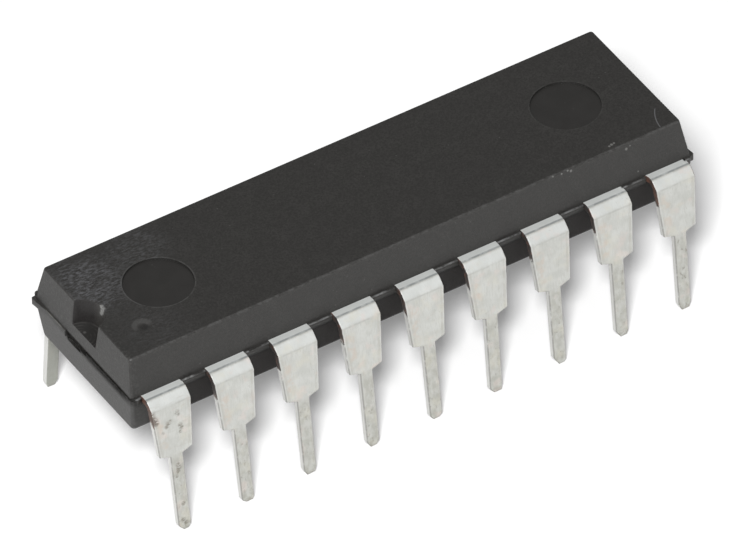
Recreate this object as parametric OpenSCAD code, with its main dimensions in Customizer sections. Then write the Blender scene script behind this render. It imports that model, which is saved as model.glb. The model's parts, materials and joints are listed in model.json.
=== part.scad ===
// Darlington array chip: a moulded dual in-line package on a stamped and formed lead frame.
// Millimetres. X runs along the body with the notch at the -X end, Y across it, Z up.
// Z = 0 is the plane of the pin tips. Lead 1 is at the -X end of the -Y row, and the
// numbers run on round the package, anticlockwise seen from above.

/* [Body] */
// Width of the body where its two halves meet
body_w = 6.3; // [6:0.05:6.8]
// Distance from the last lead's centre line to the end of the body
end_margin = 1.13; // [1:0.01:1.6]
// Height of the upper half, from the leads' top face to the top of the body
upper_h = 1.475; // [1.2:0.025:1.9]
// Height of the lower half, from the leads' bottom face to the underside
lower_h = 1.575; // [1.2:0.025:1.9]
// How far each long side of the upper half leans in
upper_draft_w = 0.345; // [0.1:0.005:0.5]
// How far each end of the upper half leans in
upper_draft_l = 0.2; // [0.05:0.005:0.5]
// How far each long side of the lower half leans in
lower_draft_w = 0.27; // [0.1:0.005:0.5]
// How far each end of the lower half leans in
lower_draft_l = 0.16; // [0.05:0.005:0.5]
// Radius of the upper half's upright corners
upper_corner_r = 0.1; // [0.05:0.01:0.4]
// Radius of the lower half's upright corners
lower_corner_r = 0.14; // [0.05:0.01:0.4]
// Radius of the edge round the top face
top_edge_r = 0.07; // [0.02:0.01:0.15]
// Radius of the edge round the underside
underside_edge_r = 0.3; // [0.05:0.01:0.45]

/* [Parting band] */
// How far the flash between the leads stands out of the long sides
flash = 0.12; // [0.02:0.01:0.2]
// Radius of the band's corners
band_corner_r = 0.2; // [0.05:0.01:0.4]
// How far the corner tabs stand out of the ends
tab_proud = 0.14; // [0.05:0.01:0.3]
// Length over which a corner tab runs out along the end
tab_w = 0.9; // [0.4:0.05:1.2]
// Radius of a corner tab's tip
tab_tip_r = 0.08; // [0.04:0.01:0.12]
// How far the band stands out of the ends between a corner tab and the gate's side of the middle
ledge = 0.05; // [0.02:0.01:0.08]
// Height of the groove along each end, under the upper half
groove_h = 0.11; // [0.05:0.01:0.2]
// Depth of the groove along each end
groove_depth = 0.12; // [0.04:0.01:0.2]
// Width of the broken gate at the notched end
gate_w = 0.8; // [0.4:0.05:1.2]
// Height of the broken gate
gate_h = 0.4; // [0.2:0.01:0.6]
// Depth of the broken gate
gate_depth = 0.14; // [0.04:0.01:0.25]
// Distance of the gate from the middle of the end
gate_offset = 0.6; // [0:0.05:1]

/* [Marks] */
// Diameter of the round ejector marks
ejector_d = 2.48; // [1.5:0.02:3]
// Depth of the ejector marks
ejector_depth = 0.07; // [0.03:0.01:0.2]
// Distance of the ejector marks' centres from the ends of the body
ejector_inset = 3.07; // [2.8:0.01:4]
// Width of the notch at the top face
notch_w = 1.64; // [1:0.02:2]
// Width of the notch at its floor
notch_floor_w = 1.5; // [0.9:0.02:1.9]
// Depth of the notch below the top face
notch_depth = 0.98; // [0.5:0.02:1.2]
// Diameter of the lead-one dimple
dimple_d = 0.72; // [0.4:0.02:1]
// Depth of the lead-one dimple
dimple_depth = 0.06; // [0.02:0.01:0.15]
// Distance of the dimple from the notched end of the body
dimple_x = 1.47; // [1.2:0.01:2]
// Distance of the dimple from the long side of the body
dimple_y = 1.58; // [1.2:0.01:2]

/* [Leads] */
// Leads in each row
leads_per_row = 9; // [7:1:11]
// Distance between neighbouring leads
pitch = 2.54; // [2.4:0.02:2.7]
// Thickness of the lead frame's sheet
lead_t = 0.25; // [0.2:0.01:0.3]
// Width of a lead at the body and round its bend
shoulder_w = 1.58; // [1.2:0.02:1.7]
// Width of a shoulder at its lower corners
shoulder_end_w = 1.3; // [1:0.02:1.5]
// How far a shoulder's lower edge slopes down to the pin
shoulder_slope = 0.14; // [0.05:0.01:0.3]
// Width of a pin below the shoulder
pin_w = 0.48; // [0.36:0.02:0.6]
// Width of a pin at its tip
tip_w = 0.26; // [0.16:0.02:0.34]
// Length of the tapered tip
tip_l = 0.26; // [0.1:0.02:0.5]
// Height of the shoulders' lower corners above the tips
pin_l = 3.27; // [2.8:0.01:3.8]
// Clearance between the shoulders' lower corners and the underside
standoff = 0.47; // [0.3:0.01:0.8]
// Radius inside the bend
bend_r = 0.17; // [0.12:0.01:0.3]
// Angle by which the pins splay outwards
splay = 7.25; // [2:0.25:10]
// Straight length of a lead between the flash and its bend
lead_exit = 0.127; // [0.08:0.001:0.3]
// Half width of the last lead's shoulder on the side towards the notched end
corner_half_w = 0.32; // [0.3:0.01:0.6]

/* [Lead frame inside] */
// Length of full shoulder width inside the body
root_depth = 0.25; // [0.15:0.01:0.4]
// Length over which the root narrows to the finger
neck_l = 0.25; // [0.15:0.01:0.4]
// Width of the fingers
finger_w = 0.36; // [0.26:0.02:0.4]
// Space between fingers, tie bar and die pad at the pad
finger_gap = 0.2; // [0.16:0.01:0.26]
// Straight length of a finger before its tip at the pad's long side
finger_run = 0.2; // [0.15:0.01:0.35]
// Sideways run of an end finger for each millimetre it goes inwards
finger_lean = 1.2; // [1:0.05:1.3]
// Length of the die pad
pad_l = 4.6; // [4.2:0.05:5]
// Width of the die pad
pad_w = 2.4; // [2.2:0.05:2.6]
// Width of the tie bars
tie_w = 0.4; // [0.3:0.02:0.6]

/* [Die and bond wires] */
// Length of the die
die_l = 2.4; // [1.8:0.05:3]
// Width of the die
die_w = 1.7; // [1.4:0.05:2]
// Thickness of the die
die_t = 0.28; // [0.2:0.01:0.4]
// Margin of the adhesive round the die
attach_margin = 0.1; // [0.05:0.01:0.2]
// Thickness of the adhesive
attach_t = 0.03; // [0.02:0.005:0.06]
// Diameter of a bond wire
wire_d = 0.05; // [0.04:0.005:0.06]
// Diameter of the ball at the die
ball_d = 0.1; // [0.08:0.005:0.14]
// Rise of the wire's loop
loop_h = 0.3; // [0.2:0.01:0.5]
// Distance of the balls from the die's edges
bond_inset = 0.13; // [0.1:0.01:0.2]
// Distance of the wire's foot from the finger's tip
foot_inset = 0.2; // [0.12:0.01:0.3]

/* [Hidden] */
$fn = 64;
lead_count = 2 * leads_per_row;
body_l = (leads_per_row - 1) * pitch + 2 * end_margin;

// Levels
seat_z = pin_l;
underside_z = seat_z + standoff;
lead_bottom_z = underside_z + lower_h;
lead_top_z = lead_bottom_z + lead_t;
top_z = lead_top_z + upper_h;
attach_top_z = lead_top_z + attach_t;
die_top_z = attach_top_z + die_t;

// The bend, and the drop below it, seen along X
bend_angle = 90 - splay;
bend_z = lead_bottom_z - bend_r;
drop_start_z = bend_z + bend_r * cos(bend_angle);
seat_drop = (drop_start_z - seat_z) / sin(bend_angle);
tip_drop = drop_start_z / sin(bend_angle);
bend_y = body_w / 2 + flash + lead_exit;

// Facets of the body's corners and edges, and the smallest overlap of a cutter past a face
corner_steps = 6;
edge_steps = 5;
over = 0.5;

// Fingers at each end of a row that run to the end of the pad
end_fingers = 2;
side_fingers = leads_per_row - 2 * end_fingers;
neck_end_y = body_w / 2 - root_depth - neck_l;
side_tip_y = pad_w / 2 + finger_gap;
end_tip_x = pad_l / 2 + finger_gap;
side_tip_pitch = (pad_l - finger_w) / (side_fingers - 1);
side_bond_pitch = (die_l - 2 * bond_inset) / (side_fingers - 1);
end_bond_pitch = (die_w / 2 - bond_inset) / (end_fingers + 1);

// Sections of a bond wire: place along the loop from 0 to 1, and diameter
wire_sides = 6;
wire_sections = [
    [0, ball_d],
    [0.05, ball_d],
    [0.1, wire_d],
    [0.25, wire_d],
    [0.4, wire_d],
    [0.55, wire_d],
    [0.7, wire_d],
    [0.85, wire_d],
    [1, wire_d]
];

function two_digits(n) = str(n < 10 ? "0" : "", n);

mould_black = [0.23, 0.225, 0.22];
tinned = [0.82, 0.83, 0.8];
copper_alloy = [0.78, 0.5, 0.34];
adhesive_grey = [0.68, 0.68, 0.66];
silicon = [0.36, 0.38, 0.42];
gold = [0.9, 0.72, 0.32];

// Centre of a lead of the front row, which also stands for its twin across the middle
function lead_x(n) = (n - (leads_per_row + 1) / 2) * pitch;
function front_number(n) = n > leads_per_row ? n - leads_per_row : n;
function row_turn(n) = n > leads_per_row ? 180 : 0;

// Place of a front lead, counted outwards from the middle and inwards from the nearer end
function from_middle(n) = n - (leads_per_row + 1) / 2;
function from_end(n) = min(n - 1, leads_per_row - n);
function is_end_finger(n) = from_end(n) < end_fingers;
function side_of(n) = sign(from_middle(n));

// A rounded rectangle, anticlockwise seen from above, as a ring of points at height z
function corner_centre(l, w, r, c) = [
    (l / 2 - r) * (c == 0 || c == 3 ? 1 : -1),
    (w / 2 - r) * (c < 2 ? 1 : -1)
];
function rounded_ring(l, w, r, z) = [
    for (c = [0:3], s = [0:corner_steps])
    let (a = 90 * (c + s / corner_steps), m = corner_centre(l, w, r, c))
    [m.x + r * cos(a), m.y + r * sin(a), z]
];

// A closed skin through rings that have equal numbers of points
module loft(rings) {
    n = len(rings[0]);
    last = len(rings) - 1;
    bottom = [for (i = [0:n - 1]) i];
    top = [for (i = [n - 1:-1:0]) last * n + i];
    sides = [
        for (k = [0:last - 1], i = [0:n - 1])
        let (j = (i + 1) % n)
        each [
            [k * n + i, (k + 1) * n + i, (k + 1) * n + j],
            [k * n + i, (k + 1) * n + j, k * n + j]
        ]
    ];
    polyhedron(points = [for (ring = rings) each ring], faces = concat([bottom, top], sides));
}

// One half of the body, from z = 0 at the band up to its outer face
module body_half(h, draft_l, draft_w, corner_r, edge_r) {
    base = rounded_ring(body_l, body_w, corner_r, 0);
    edge = [
        for (s = [0:edge_steps])
        let (
            a = 90 * s / edge_steps,
            z = h - edge_r * (1 - sin(a)),
            inset = edge_r * (1 - cos(a))
        )
        rounded_ring(
            body_l - 2 * (draft_l * z / h + inset),
            body_w - 2 * (draft_w * z / h + inset),
            corner_r,
            z
        )
    ];
    loft(concat([base], edge));
}

// A corner tab of the band: a rounded tip that runs out into a ledge along the end of the body
ledge_end_y = -gate_offset - gate_w / 2 - ledge;
tab_root = [body_l / 2 + ledge, -body_w / 2 + tab_w];
tab_centre = [body_l / 2 + tab_proud - tab_tip_r, -body_w / 2 + tab_tip_r];
tab_reach = tab_root - tab_centre;
tab_turn = atan2(tab_reach.y, tab_reach.x) - acos(tab_tip_r / norm(tab_reach));
tab_outline = concat(
    [[body_l / 2 - tab_w, -body_w / 2]],
    [
        for (s = [0:corner_steps])
        let (a = -90 + (tab_turn + 90) * s / corner_steps)
        tab_centre + tab_tip_r * [cos(a), sin(a)]
    ],
    [tab_root, [body_l / 2 + ledge, ledge_end_y], [body_l / 2, ledge_end_y]]
);

// The band in the leads' plane: flash along the sides and a tab at two opposite corners
module parting_band() {
    linear_extrude(lead_t) {
        polygon([for (p = rounded_ring(body_l, body_w + 2 * flash, band_corner_r, 0)) [p.x, p.y]]);
        for (turn = [0, 180])
            rotate(turn)
                polygon(tab_outline);
    }
}

// The step where the halves of the mould meet, from a corner without a tab to beyond the tie bar
module end_groove() {
    translate([-body_l / 2 - over, -body_w / 2 - over, lead_top_z - groove_h])
        cube([groove_depth + over, body_w / 2 + over + gate_offset + gate_w / 2, groove_h]);
}

module gate_break() {
    translate([-body_l / 2 - over, gate_offset - gate_w / 2, lead_top_z - gate_h])
        cube([gate_depth + over, gate_w, gate_h]);
}

// Half-round notch that marks the end of the package. Its cone runs on past the top face
// by as much again, at the same slope, to cut clean through it.
module notch() {
    translate([-body_l / 2, 0, top_z - notch_depth])
        cylinder(h = notch_depth * 2, d1 = notch_floor_w, d2 = 2 * notch_w - notch_floor_w);
}

module ejector_mark() {
    translate([0, 0, -ejector_depth])
        cylinder(h = ejector_depth + over, d = ejector_d);
}

// A shallow round cap sunk into the top face beside lead 1
module dimple() {
    ball_r = (dimple_d * dimple_d / 4 + dimple_depth * dimple_depth) / (2 * dimple_depth);
    translate([-body_l / 2 + dimple_x, -body_w / 2 + dimple_y, top_z + ball_r - dimple_depth])
        sphere(r = ball_r);
}

module body() {
    color(mould_black)
        difference() {
            union() {
                translate([0, 0, lead_top_z])
                    body_half(upper_h, upper_draft_l, upper_draft_w, upper_corner_r, top_edge_r);
                translate([0, 0, lead_bottom_z])
                    parting_band();
                translate([0, 0, lead_bottom_z])
                    mirror([0, 0, 1])
                        body_half(lower_h, lower_draft_l, lower_draft_w, lower_corner_r, underside_edge_r);
            }
            for (turn = [0, 180])
                rotate(turn)
                    end_groove();
            gate_break();
            notch();
            dimple();
            for (side = [-1, 1]) {
                translate([side * (body_l / 2 - ejector_inset), 0, top_z])
                    ejector_mark();
                translate([side * (body_l / 2 - ejector_inset), 0, underside_z])
                    mirror([0, 0, 1])
                        ejector_mark();
            }
            die_pad_form();
            die_attach_form();
            die_form();
            for (n = [1:lead_count]) {
                lead_flat(n);
                bond_wire_form(n);
            }
        }
}

module die_pad_form() {
    translate([0, 0, lead_bottom_z])
        linear_extrude(lead_t) {
            square([pad_l, pad_w], center = true);
            square([body_l, tie_w], center = true);
        }
}

module die_attach_form() {
    translate([-die_l / 2 - attach_margin, -die_w / 2 - attach_margin, lead_top_z])
        cube([die_l + 2 * attach_margin, die_w + 2 * attach_margin, attach_t]);
}

module die_form() {
    translate([-die_l / 2, -die_w / 2, attach_top_z])
        cube([die_l, die_w, die_t]);
}

// Where a front lead's finger ends beside the pad, and the way it points there
function tip_point(n) = is_end_finger(n)
    ? [side_of(n) * end_tip_x, -(tie_w + finger_w) / 2 - finger_gap - from_end(n) * (finger_w + finger_gap)]
    : [from_middle(n) * side_tip_pitch, -side_tip_y];
function tip_way(n) = is_end_finger(n) ? [-side_of(n), 0] : [0, 1];

// Where the finger turns into its last straight run
function knee_point(n) = is_end_finger(n)
    ? [lead_x(n) - side_of(n) * (neck_end_y + tip_point(n).y) * finger_lean, tip_point(n).y]
    : tip_point(n) - tip_way(n) * finger_run;

// Middle line of a front lead's flat part with its widths, from the bend to the finger's tip
function flat_path(n) = [
    [[lead_x(n), -bend_y], shoulder_w],
    [[lead_x(n), -body_w / 2 + root_depth], shoulder_w],
    [[lead_x(n), -neck_end_y], finger_w],
    [knee_point(n), finger_w],
    [tip_point(n), finger_w]
];

// Outline of a strip along a path of points and widths, mitred at its turns
function unit(v) = v / norm(v);
function way_in(path, i) = unit(path[max(i, 1)][0] - path[max(i, 1) - 1][0]);
function way_out(path, i) = unit(path[min(i + 1, len(path) - 1)][0] - path[min(i, len(path) - 2)][0]);
function strip_side(path, i, side) =
    let (
        way = unit(way_in(path, i) + way_out(path, i)),
        reach = path[i][1] / 2 / (way * way_in(path, i))
    )
    path[i][0] + side * reach * [-way.y, way.x];
function strip_outline(path) = concat(
    [for (i = [0:len(path) - 1]) strip_side(path, i, -1)],
    [for (i = [len(path) - 1:-1:0]) strip_side(path, i, 1)]
);

// The last lead has only half a shoulder: its outer edge steps in where it has left the flash
step_y = bend_y - lead_exit / 2;
function outer_half(n) = n == lead_count ? corner_half_w : shoulder_w / 2;
function flat_outline(n) =
    let (
        outline = strip_outline(flat_path(front_number(n))),
        x = lead_x(front_number(n))
    )
    n < lead_count
        ? outline
        : concat(
            [[x + corner_half_w, -bend_y], [x + corner_half_w, -step_y], [x + shoulder_w / 2, -step_y]],
            [for (i = [1:len(outline) - 1]) outline[i]]
        );

// The part of a lead that lies in the plane of the lead frame
module lead_flat(n) {
    rotate(row_turn(n))
        translate([0, 0, lead_bottom_z])
            linear_extrude(lead_t)
                polygon(flat_outline(n));
}

// Half outline of the shoulder and pin: half width and distance below the bend
drop_half = [
    [shoulder_w / 2, 0],
    [shoulder_end_w / 2, seat_drop],
    [pin_w / 2, seat_drop + shoulder_slope],
    [pin_w / 2, tip_drop - tip_l],
    [tip_w / 2, tip_drop]
];
function drop_outline(outer) = concat(
    drop_half,
    [for (i = [len(drop_half) - 1:-1:0]) [-min(drop_half[i].x, outer), drop_half[i].y]]
);

// The bend over the edge of the body, and the shoulder and pin below it
module lead_drop(n) {
    rotate(row_turn(n))
        translate([lead_x(front_number(n)), -bend_y, bend_z])
            rotate([180, -90, 0]) {
                rotate_extrude(angle = bend_angle)
                    translate([bend_r, -shoulder_w / 2])
                        square([lead_t, shoulder_w / 2 + outer_half(n)]);
                rotate(bend_angle)
                    translate([bend_r, 0, 0])
                        rotate([0, 90, 0])
                            linear_extrude(lead_t)
                                polygon(drop_outline(outer_half(n)));
            }
}

// Ends of a front lead's bond wire: the ball on the die and the foot on the finger
function ball_point(n) = is_end_finger(n)
    ? [side_of(n) * (die_l / 2 - bond_inset), -(from_end(n) + 1) * end_bond_pitch, die_top_z]
    : [from_middle(n) * side_bond_pitch, -die_w / 2 + bond_inset, die_top_z];
function foot_point(n) =
    let (p = tip_point(n) - tip_way(n) * foot_inset)
    [p.x, p.y, lead_top_z];

// A ring of the wire's loop, square to its path, which rises and falls upright at its ends
function wire_ring(from, to, t, d) =
    let (
        span = [to.x - from.x, to.y - from.y],
        way = unit(span),
        along = norm(span) * (1 - cos(180 * t)) / 2,
        rise = (to.z - from.z) * t + loop_h * sin(180 * t),
        slope = atan2((to.z - from.z) / PI + loop_h * cos(180 * t), norm(span) * sin(180 * t) / 2)
    )
    [
        for (i = [0:wire_sides - 1])
        let (
            a = 360 * i / wire_sides,
            across = d / 2 * cos(a),
            over_path = d / 2 * sin(a),
            out = along - over_path * sin(slope)
        )
        [
            from.x + way.x * out - way.y * across,
            from.y + way.y * out + way.x * across,
            from.z + rise + over_path * cos(slope)
        ]
    ];

module bond_wire_form(n) {
    from = ball_point(front_number(n));
    to = foot_point(front_number(n));
    rotate(row_turn(n))
        loft([for (s = wire_sections) wire_ring(from, to, s[0], s[1])]);
}

module die_pad() {
    color(copper_alloy)
        die_pad_form();
}

module die_attach() {
    color(adhesive_grey)
        die_attach_form();
}

module die() {
    color(silicon)
        die_form();
}

module lead(n) {
    color(tinned) {
        lead_flat(n);
        lead_drop(n);
    }
}

module bond_wire(n) {
    color(gold)
        bond_wire_form(n);
}

body();
die_pad();
die_attach();
die();
for (n = [1:lead_count]) {
    lead(n);
    bond_wire(n);
}
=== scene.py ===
"""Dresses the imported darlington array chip: moulded body, formed leads, studio floor, light and camera."""
import json
import math
import random
import bpy
import bmesh
from mathutils import Matrix, Vector, noise

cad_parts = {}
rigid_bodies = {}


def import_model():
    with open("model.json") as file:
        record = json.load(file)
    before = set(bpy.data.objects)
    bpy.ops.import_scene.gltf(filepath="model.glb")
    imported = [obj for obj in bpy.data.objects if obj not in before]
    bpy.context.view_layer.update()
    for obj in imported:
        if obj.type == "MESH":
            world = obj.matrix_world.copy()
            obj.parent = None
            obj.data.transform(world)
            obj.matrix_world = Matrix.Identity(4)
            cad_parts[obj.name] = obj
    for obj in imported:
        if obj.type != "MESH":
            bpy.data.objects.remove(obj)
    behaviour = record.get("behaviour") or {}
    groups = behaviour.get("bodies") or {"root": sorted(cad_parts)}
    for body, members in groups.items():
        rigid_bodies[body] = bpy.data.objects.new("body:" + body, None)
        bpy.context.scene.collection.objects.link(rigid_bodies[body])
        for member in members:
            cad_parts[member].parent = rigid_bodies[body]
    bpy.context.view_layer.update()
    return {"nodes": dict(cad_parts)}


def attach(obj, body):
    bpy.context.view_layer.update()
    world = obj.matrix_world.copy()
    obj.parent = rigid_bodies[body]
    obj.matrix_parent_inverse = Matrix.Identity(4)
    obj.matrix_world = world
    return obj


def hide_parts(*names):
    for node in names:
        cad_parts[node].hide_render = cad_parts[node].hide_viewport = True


for leftover in list(bpy.data.objects):
    bpy.data.objects.remove(leftover)

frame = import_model()
nodes = frame["nodes"]

# Sizes in millimetres, as the solids have them; SPLAY is in degrees and FINGER_LEAN is a ratio.
# The scene itself is in metres.
MM = 0.001
BODY_L, BODY_W = 22.58, 6.3
UNDERSIDE_Z, LEAD_BOTTOM_Z, LEAD_TOP_Z, TOP_Z = 3.74, 5.315, 5.565, 7.04
UPPER_DRAFT_L, UPPER_DRAFT_W = 0.2, 0.345
FLASH = 0.12
EJECTOR_X, EJECTOR_R = 8.22, 1.24
NOTCH_R, NOTCH_FLOOR_Z = 0.82, 6.06
DIMPLE_X, DIMPLE_Y = -9.82, -1.57
GATE_DEPTH, GATE_LOW_Y, GATE_HIGH_Y, GATE_H = 0.14, 0.2, 1.0, 0.4
LEADS_PER_ROW, PITCH, SHEET_T = 9, 2.54, 0.25
SHOULDER_W, SHOULDER_END_W, SHOULDER_SLOPE = 1.58, 1.3, 0.14
PIN_W = 0.48
SEAT_Z, BEND_R, SPLAY, LEAD_EXIT = 3.27, 0.17, 7.25, 0.127
CORNER_HALF_W = 0.32
ROOT_DEPTH, NECK_L, FINGER_W, FINGER_GAP, FINGER_RUN, FINGER_LEAN = 0.25, 0.25, 0.36, 0.2, 0.2, 1.2
PAD_L, PAD_W, TIE_W = 4.6, 2.4, 0.4

BEND_ANGLE = math.radians(90 - SPLAY)
BEND_Y = BODY_W / 2 + FLASH + LEAD_EXIT
STEP_Y = BEND_Y - LEAD_EXIT / 2
BEND_Z = LEAD_BOTTOM_Z - BEND_R
DROP_START_Z = BEND_Z + BEND_R * math.cos(BEND_ANGLE)
SEAT_DROP = (DROP_START_Z - SEAT_Z) / math.sin(BEND_ANGLE)
TIP_DROP = DROP_START_Z / math.sin(BEND_ANGLE)


class Paint:
    """A node material in the making, with the place on the object in millimetres."""

    def __init__(self, name):
        self.material = bpy.data.materials.new(name)
        self.material.use_nodes = True
        self.tree = self.material.node_tree
        self.shader = self.tree.nodes["Principled BSDF"]
        coords = self.tree.nodes.new("ShaderNodeTexCoord")
        self.place = self.vector("SCALE", coords.outputs["Object"], scale=1 / MM)
        self.x, self.y, self.z = self.split(self.place)

    def put(self, socket, value):
        if isinstance(value, bpy.types.NodeSocket):
            self.tree.links.new(value, socket)
        elif isinstance(value, (tuple, list)) and len(value) == 3 and len(socket.default_value) == 4:
            socket.default_value = (*value, 1)
        else:
            socket.default_value = value

    def split(self, vector):
        node = self.tree.nodes.new("ShaderNodeSeparateXYZ")
        self.put(node.inputs[0], vector)
        return node.outputs[0], node.outputs[1], node.outputs[2]

    def vector(self, operation, a, b=None, scale=None):
        node = self.tree.nodes.new("ShaderNodeVectorMath")
        node.operation = operation
        self.put(node.inputs[0], a)
        if b is not None:
            self.put(node.inputs[1], b)
        if scale is not None:
            node.inputs["Scale"].default_value = scale
        return node.outputs["Value"] if operation in {"LENGTH", "DISTANCE"} else node.outputs["Vector"]

    def math(self, operation, a, b=0.0, clamp=False):
        node = self.tree.nodes.new("ShaderNodeMath")
        node.operation = operation
        node.use_clamp = clamp
        self.put(node.inputs[0], a)
        self.put(node.inputs[1], b)
        return node.outputs[0]

    def step(self, value, low, high):
        """0 below low, 1 above high and smooth between; low may be the higher one."""
        node = self.tree.nodes.new("ShaderNodeMapRange")
        node.interpolation_type = "SMOOTHSTEP"
        flip = low > high
        self.put(node.inputs["Value"], value)
        node.inputs["From Min"].default_value = min(low, high)
        node.inputs["From Max"].default_value = max(low, high)
        node.inputs["To Min"].default_value = 1.0 if flip else 0.0
        node.inputs["To Max"].default_value = 0.0 if flip else 1.0
        return node.outputs["Result"]

    def both(self, *masks):
        result = masks[0]
        for mask in masks[1:]:
            result = self.math("MULTIPLY", result, mask)
        return result

    def noise(
        self, scale, detail=3.0, roughness=0.55, stretch=None, turn=None, shift=(0, 0, 0), distortion=0.0,
    ):
        mapping = self.tree.nodes.new("ShaderNodeMapping")
        self.put(mapping.inputs["Vector"], self.place)
        mapping.inputs["Location"].default_value = shift
        if turn is not None:
            mapping.inputs["Rotation"].default_value = turn
        if stretch is not None:
            mapping.inputs["Scale"].default_value = stretch
        node = self.tree.nodes.new("ShaderNodeTexNoise")
        self.put(node.inputs["Vector"], mapping.outputs[0])
        node.inputs["Scale"].default_value = scale
        node.inputs["Detail"].default_value = detail
        node.inputs["Roughness"].default_value = roughness
        node.inputs["Distortion"].default_value = distortion
        return node.outputs["Fac"]

    def mix(self, share, a, b):
        node = self.tree.nodes.new("ShaderNodeMix")
        node.data_type = "RGBA"
        self.put(node.inputs[0], share)
        self.put(node.inputs[6], a)
        self.put(node.inputs[7], b)
        return node.outputs[2]

    def over(self, color, mask, share, tone):
        """The colour with this share of the tone laid over it where the mask is 1."""
        return self.mix(self.math("MULTIPLY", mask, share), color, tone)

    def blend(self, share, a, b):
        node = self.tree.nodes.new("ShaderNodeMix")
        node.data_type = "FLOAT"
        self.put(node.inputs[0], share)
        self.put(node.inputs[2], a)
        self.put(node.inputs[3], b)
        return node.outputs[0]

    def stored(self, name):
        """A value that the mesh carries on its points."""
        node = self.tree.nodes.new("ShaderNodeAttribute")
        node.attribute_name = name
        return node.outputs["Fac"]

    def radius(self, x, y):
        """Distance from the upright line at x and y."""
        across = self.math("SUBTRACT", self.x, x)
        along = self.math("SUBTRACT", self.y, y)
        return self.math("SQRT", self.math("ADD", self.both(across, across), self.both(along, along)))

    def band(self, value, middle, half, soft):
        """1 within half of the middle, fading to 0 over soft on either side."""
        off = self.math("ABSOLUTE", self.math("SUBTRACT", value, middle))
        return self.step(off, half + soft, half)

    def spots(self, places):
        """Soft round spots, each given as x, y, z and radius."""
        result = None
        for x, y, z, radius in places:
            spot = self.step(self.vector("DISTANCE", self.place, (x, y, z)), radius, radius * 0.35)
            result = spot if result is None else self.math("MAXIMUM", result, spot)
        return result

    def bump(self, height, depth, strength=1.0):
        """A bump of so many millimetres between height 0 and 1."""
        node = self.tree.nodes.new("ShaderNodeBump")
        node.inputs["Strength"].default_value = strength
        node.inputs["Distance"].default_value = depth * MM
        self.put(node.inputs["Height"], height)
        self.put(self.shader.inputs["Normal"], node.outputs[0])

    def finish(self, color, roughness, metallic=0.0, ior=1.5):
        self.put(self.shader.inputs["Base Color"], color)
        self.put(self.shader.inputs["Roughness"], roughness)
        self.put(self.shader.inputs["Metallic"], metallic)
        self.put(self.shader.inputs["IOR"], ior)


# Pale specks on the top and the front face: x, y, z and radius
SPECKS = [
    (8.33, -2.60, TOP_Z, 0.06), (8.44, -2.57, TOP_Z, 0.075), (8.55, -2.55, TOP_Z, 0.055),
    (8.86, -2.85, 6.84, 0.075), (9.02, -2.83, 6.90, 0.04),
    (9.18, -3.09, 5.83, 0.045),
    (6.50, -2.81, 6.98, 0.055), (6.62, -2.83, 6.92, 0.07),
    (5.90, -2.81, 7.0, 0.05), (6.25, -2.82, 6.96, 0.05),
]
# Bare spots on the wall of the notch, up to its rim: x, y, z and radius
RIM_SPOTS = [
    (-10.48, -0.10, 6.98, 0.13), (-10.49, -0.04, 6.84, 0.15),
    (-10.49, 0.02, 6.72, 0.11), (-10.47, 0.03, 7.0, 0.12),
]
# A curved scratch near the far end: centre, radius and reach across the body
SCRATCH_X, SCRATCH_Y, SCRATCH_R = 12.0, -2.88, 1.68
SCRATCH_LOW_Y, SCRATCH_HIGH_Y = -2.78, -1.78


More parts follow.
